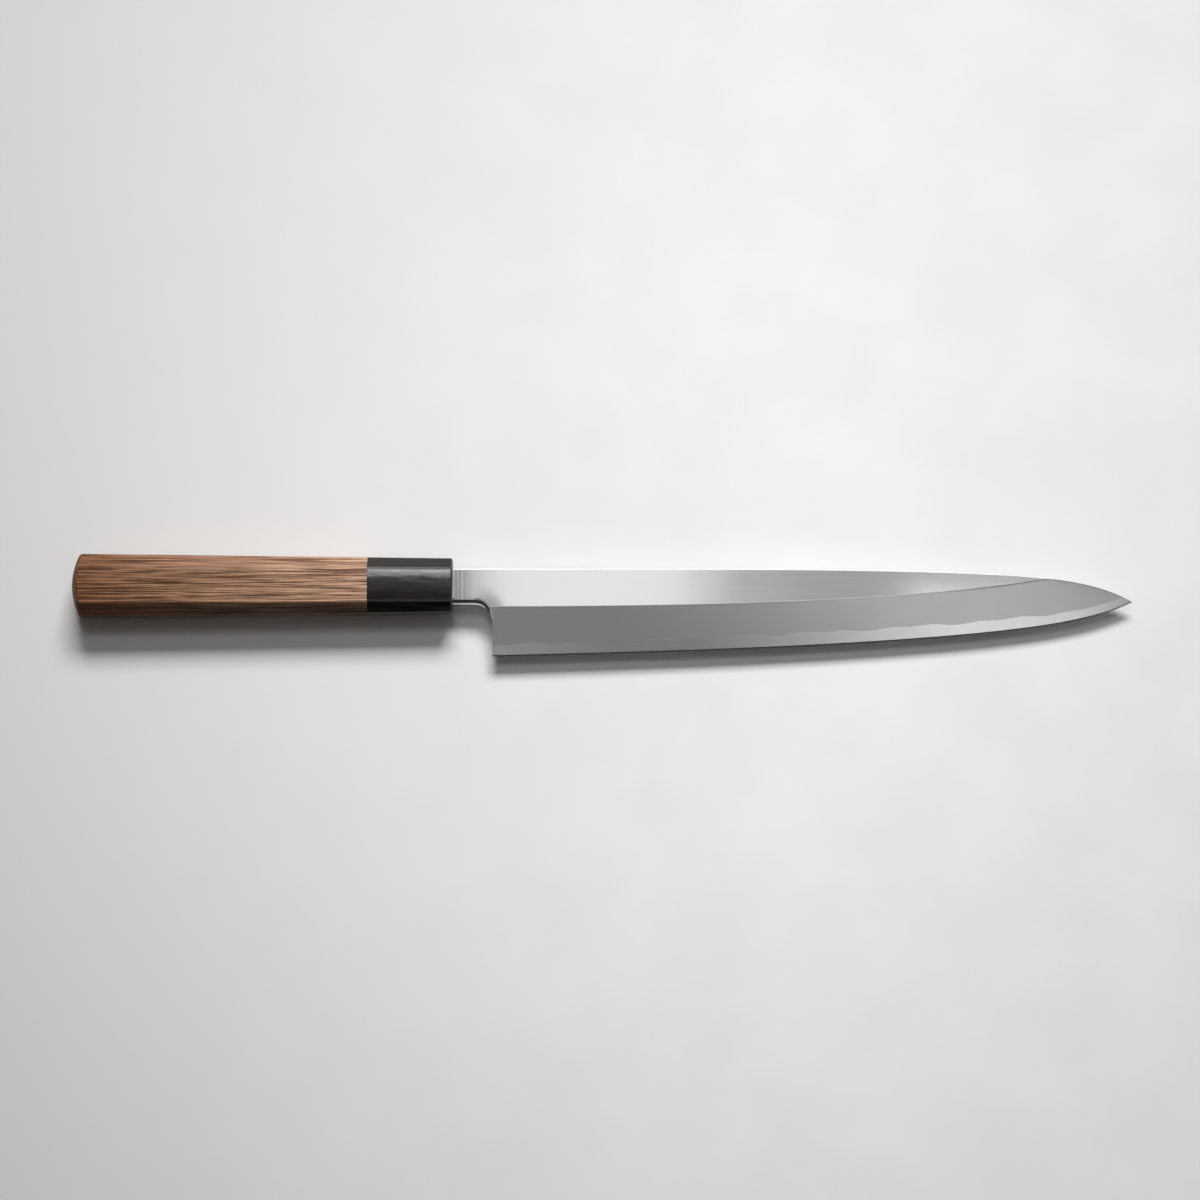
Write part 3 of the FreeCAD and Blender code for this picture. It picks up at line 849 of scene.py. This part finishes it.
bore_end = JOINT_X - DOWEL_IN_GRIP
pilot_end = -TANG_LENGTH - TAIL_ROOM
drill_tip = (pilot_end - PILOT_RADIUS / DRILL_SLOPE, 0, 0)
inside = [bore_ring(pilot_end, PILOT_RADIUS), bore_ring(bore_end, PILOT_RADIUS)]
inside += [bore_ring(bore_end, BORE_RADIUS), bore_ring(JOINT_X, BORE_RADIUS)]
inside.insert(0, [drill_tip] * len(inside[0]))
outside = [handle_ring(JOINT_X, SEAM_EASE), handle_ring(JOINT_X - SEAM_EASE)]
outside += [handle_ring(x) for x in shares(GRIP_CUTS, JOINT_X - SEAM_REACH, BUTT_REACH - HANDLE_LENGTH)]
for share in shares(FRONT_STEPS):
    turn = math.pi / 2 * share
    eased = handle_ring(BUTT_RIM - HANDLE_LENGTH, BUTT_EASE * (1 - math.cos(turn)))
    outside.append(domed(eased, BUTT_EASE * (1 - math.sin(turn))))
rim = handle_ring(BUTT_RIM - HANDLE_LENGTH, BUTT_EASE)
dome = [domed([(x, y * size, z * size) for x, y, z in rim]) for size in DOME_SHARES]
rings = inside + outside + dome
rubbed = corner_wear_and_highlight(len(rings), len(inside), len(inside + outside), ends=0.0)
grip = skin("grip_walnut", rings, knife, wear=rubbed)
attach(grip, "root")
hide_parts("grip")

BUTT_DARK = (0.054, 0.020, 0.008, 1)
BUTT_LIGHT = (0.230, 0.092, 0.039, 1)
FRONT_DARK = (0.128, 0.059, 0.033, 1)
FRONT_LIGHT = (0.620, 0.388, 0.265, 1)
LOWER_SIDE_SHADE = (0.018, 0.006, 0.003, 1)  # painted shade along the lower side, whose facets face away from the lamp
LOWER_SHADE_Y = -0.0085           # it fades out between here
LOWER_SHADE_END_Y = -0.0062       # and here
PORE = (0.030, 0.011, 0.005, 1)
walnut, tree, shader = finish("oiled_walnut", IOR=1.46, Specular_IOR_Level=0.12)
grain = node(tree, "ShaderNodeGroup", node_tree=timber).outputs
fade = lengthwise(tree, -HANDLE_LENGTH, JOINT_X, 0.05, 1)
dark = mix(tree, fade, BUTT_DARK, FRONT_DARK)
light = mix(tree, fade, BUTT_LIGHT, FRONT_LIGHT)
tone = ramp(tree, grain["Tones"], *NOISE_RANGE, -0.08, 0.08)
band = ramp(tree, grain["Bands"], 0.36, 0.64, -0.21, 0.21)
fibre = ramp(tree, grain["Fibres"], 0.40, 0.60, -0.1, 1.1)
light_share = combine(tree, "ADD", combine(tree, "ADD", tone, band), fibre, use_clamp=True)
colour = mix(tree, light_share, dark, light)
# Painted shade: the lower side is darkened, a little more strongly towards the ferrule.
lower_shade_share = ramp(tree, spot_axes(tree)["Y"], LOWER_SHADE_Y, LOWER_SHADE_END_Y, 1, 0)
lower_shade_share = combine(tree, "MULTIPLY", ramp(tree, fade, 0, 1, 0.50, 0.80), lower_shade_share)
colour = mix(tree, lower_shade_share, colour, LOWER_SIDE_SHADE)
pores = ramp(tree, grain["Pores"], 0.57, 0.66)
colour = mix(tree, ramp(tree, pores, 0, 1, 0, 0.80), colour, PORE)
colour = mix(tree, ramp(tree, grain["Fine pores"], 0.58, 0.70, 0, 0.6), colour, PORE)
# Painted highlight: the rubbed corners towards the lamp are lightened towards the wood's light colour.
worn_and_lit = node(tree, "ShaderNodeAttribute", attribute_name="wear").outputs["Fac"]
worn_and_lit = combine(tree, "MULTIPLY", worn_and_lit, ramp(tree, grain["Fibres"], 0.35, 0.6, 0.15, 0.75))
colour = mix(tree, worn_and_lit, colour, light)
tree.links.new(colour, shader.inputs["Base Color"])
tree.links.new(ramp(tree, grain["Fibres"], 0.2, 0.8, 0.60, 0.48), shader.inputs["Roughness"])
height = combine(tree, "SUBTRACT", grain["Fibres"], pores)
tree.links.new(relief(tree, height, 0.00004), shader.inputs["Normal"])
grip.data.materials.append(walnut)


# Tang bedding
# Amber resin is cast round the tang when the blade is set into the handle. It fills the mortise and the
# pilot bore, and holds the blade.
def resin_clouds_group():
    """The soft clouds in cast resin."""
    group = bpy.data.node_groups.new("resin_clouds", "ShaderNodeTree")
    group.interface.new_socket("Clouds", in_out="OUTPUT", socket_type="NodeSocketFloat")
    clouds = noise(group, (300, 300, 300), 4)[0]
    group.links.new(clouds, group.nodes.new("NodeGroupOutput").inputs["Clouds"])
    return group


resin_clouds = resin_clouds_group()


def cast_resin(name, dark, light):
    made, tree, shader = finish(name, Roughness=0.45)
    clouds = node(tree, "ShaderNodeGroup", node_tree=resin_clouds).outputs["Clouds"]
    tree.links.new(mix(tree, ramp(tree, clouds, *NOISE_RANGE), dark, light), shader.inputs["Base Color"])
    tree.links.new(relief(tree, clouds, 0.00003), shader.inputs["Normal"])
    return made


frame["nodes"]["tang_bedding"].material_slots[0].material = cast_resin(
    "bedding_resin", dark=(0.30, 0.20, 0.09, 1), light=(0.50, 0.40, 0.24, 1))


# Mouth seal
# A dark resin closes the ferrule's mouth round the neck and keeps water out of the handle. It is flush
# with the ferrule's face.
frame["nodes"]["mouth_seal"].material_slots[0].material = cast_resin(
    "seal_resin", dark=(0.020, 0.016, 0.012, 1), light=(0.060, 0.050, 0.040, 1))


# Stage
# The knife lies on a plain pale floor with painted shade standing in for the lamp's falloff: darker on
# its -X side and a little darker away from the knife. One large soft lamp stands behind the spine, level
# panels hang overhead for the polished steel to mirror, and the room round them shows in reflections. The
# camera looks almost straight down.
AIM = knife @ Vector((0.0552, -0.0051, 0))
FLOOR_REACH = 3.0
FLOOR_COLOUR = (0.84, 0.84, 0.835)
FLOOR_MOTTLE = 0.96          # share of that colour in its faint mottle
FLOOR_PAINTED_SHADE = 0.77             # and on its side with painted shade
PAINTED_SHADE_X = -0.12                # up to here the floor has its painted shade in full
PALE_X = 0.22                # and from here on pale
FALL_START = 0.10            # away from the aim it also gets a little painted shade, between these distances
FALL_END = 0.32
PAINTED_FALLOFF_SHARE = 0.17
BLACK = (0, 0, 0, 1)


def floor_tone(share):
    return (*(c * share for c in FLOOR_COLOUR), 1)


bpy.ops.mesh.primitive_grid_add(x_subdivisions=8, y_subdivisions=8, size=2 * FLOOR_REACH)
floor = bpy.context.object
floor.name = "floor"
floor_finish, tree, shader = finish("pale_floor", Roughness=0.85)
mottle = ramp(tree, noise(tree, (30, 30, 30), 5)[0], 0.35, 0.65)
colour = mix(tree, mottle, floor_tone(1), floor_tone(FLOOR_MOTTLE))
# Painted shade for the lamp's falloff: darker towards -X and a little darker away from the aim.
colour = mix(tree, ramp(tree, spot_axes(tree)["X"], PAINTED_SHADE_X, PALE_X), floor_tone(FLOOR_PAINTED_SHADE), colour)
away = node(tree, "ShaderNodeVectorMath", {0: spot(tree), 1: (AIM.x, AIM.y, 0)}, operation="DISTANCE")
fall = ramp(tree, away.outputs["Value"], FALL_START, FALL_END, 0, PAINTED_FALLOFF_SHARE)
tree.links.new(mix(tree, fall, colour, BLACK), shader.inputs["Base Color"])
floor.data.materials.append(floor_finish)

ROOM_LIGHT = 0.05            # how brightly the room lights the knife from all sides
ROOM_COLOUR = (1.0, 0.86, 0.74, 1)
WHITE = (1.0, 1.0, 1.0, 1)
CEILING = 0.21               # how bright the room's parts look in reflections
LIT_WALL = 0.5
DARK_WALL = 0.045
WALL_FOOT = 0.01

world = bpy.data.worlds.new("studio")
bpy.context.scene.world = world
world.use_nodes = True
tree = world.node_tree
background = tree.nodes["Background"]
# The walls are lit towards +Y and +X, and dark on the other sides.
toward = node(tree, "ShaderNodeTexCoord").outputs["Generated"]
toward = node(tree, "ShaderNodeSeparateXYZ", {0: toward}).outputs
walls = ramp(tree, toward["Z"], 0.10, 0.25, WALL_FOOT, DARK_WALL)
walls = combine(tree, "MAXIMUM", walls, ramp(tree, toward["Y"], 0.05, 0.25, 0, LIT_WALL))
walls = combine(tree, "MAXIMUM", walls, ramp(tree, toward["X"], 0.35, 0.50, 0, LIT_WALL))
overhead = ramp(tree, toward["Z"], 0.86, 0.90)
room = node(tree, "ShaderNodeMix", {0: overhead, 2: walls, 3: CEILING}).outputs[0]
rays = node(tree, "ShaderNodeLightPath").outputs
seen = rays["Is Camera Ray"]
for kind in ("Is Glossy Ray", "Is Transmission Ray"):
    seen = combine(tree, "MAXIMUM", seen, rays[kind])
room = node(tree, "ShaderNodeMix", {0: seen, 2: ROOM_LIGHT, 3: room}).outputs[0]
tree.links.new(room, background.inputs["Strength"])
tree.links.new(mix(tree, seen, ROOM_COLOUR, WHITE), background.inputs["Color"])


def area_lamp(name, size, power, place, turn):
    """A rectangular lamp, which shines down before it is turned."""
    lamp = bpy.data.lights.new(name, "AREA")
    lamp.shape = "RECTANGLE"
    lamp.size, lamp.size_y = size
    lamp.energy = power
    piece = bpy.data.objects.new(name, lamp)
    piece.location = place
    piece.rotation_euler = turn
    bpy.context.scene.collection.objects.link(piece)


# The lamp's direction is an angle from straight up and a bearing from +Y towards +X.
LAMP_ZENITH = math.radians(44)
LAMP_BEARING = math.radians(6)
LAMP_DISTANCE = 2.7
LAMP_SIZE = (1.35, 0.68)
LAMP_POWER = 86
lamp_way = Vector((math.sin(LAMP_ZENITH) * math.sin(LAMP_BEARING),
                   math.sin(LAMP_ZENITH) * math.cos(LAMP_BEARING),
                   math.cos(LAMP_ZENITH)))
area_lamp("key_lamp", LAMP_SIZE, LAMP_POWER, AIM + lamp_way * LAMP_DISTANCE,
          lamp_way.to_track_quat("Z", "Y").to_euler())


def overhead_panel(name, middle, size, brightness, height, turn=0.0):
    """A panel that hangs level above the knife, placed from the middle of the picture."""
    power = math.pi * size[0] * size[1] * brightness
    area_lamp(name, size, power, AIM + Vector((*middle, height)), (0, 0, turn))


# Panels that overlap hang at different heights.
overhead_panel("spine_side_panel", middle=(0, 0.40), size=(1.8, 1.00), brightness=0.285, height=2.49)
overhead_panel("neck_panel", middle=(0.0575, 0.265), size=(0.215, 0.31), brightness=0.65, height=2.48)
overhead_panel("neck_fade_panel", middle=(0.185, 0.265), size=(0.040, 0.31), brightness=0.38, height=2.48)
overhead_panel("neck_end_panel", middle=(0.2375, 0.265), size=(0.065, 0.31), brightness=0.09, height=2.48)
overhead_panel("heel_panel", middle=(-0.08, -0.85), size=(0.12, 0.50), brightness=0.58, height=2.455)
overhead_panel("point_panel", middle=(0.53, -0.29), size=(0.40, 0.96), brightness=0.76, height=2.47,
               turn=math.radians(-8))
overhead_panel("ridge_panel", middle=(0.37, -0.10), size=(0.25, 0.14), brightness=5.0, height=2.465)
overhead_panel("rear_panel", middle=(-0.125, 0.85), size=(0.40, 0.65), brightness=5.2, height=2.46)
overhead_panel("rear_bright_panel", middle=(-0.125, 0.98), size=(0.40, 0.44), brightness=9.7, height=2.45)

VIEW_TILT = math.radians(4.5)
VIEW_DISTANCE = 1.4
VIEW_WIDTH = 0.449
SENSOR_WIDTH = 36
camera_data = bpy.data.cameras.new("camera")
camera_data.sensor_width = SENSOR_WIDTH
camera_data.lens = SENSOR_WIDTH * VIEW_DISTANCE / VIEW_WIDTH
camera = bpy.data.objects.new("camera", camera_data)
camera.location = AIM + Vector((0, -math.sin(VIEW_TILT), math.cos(VIEW_TILT))) * VIEW_DISTANCE
camera.rotation_euler = (VIEW_TILT, 0, 0)
bpy.context.scene.collection.objects.link(camera)
bpy.context.scene.camera = camera

bpy.context.scene.view_settings.view_transform = "Standard"
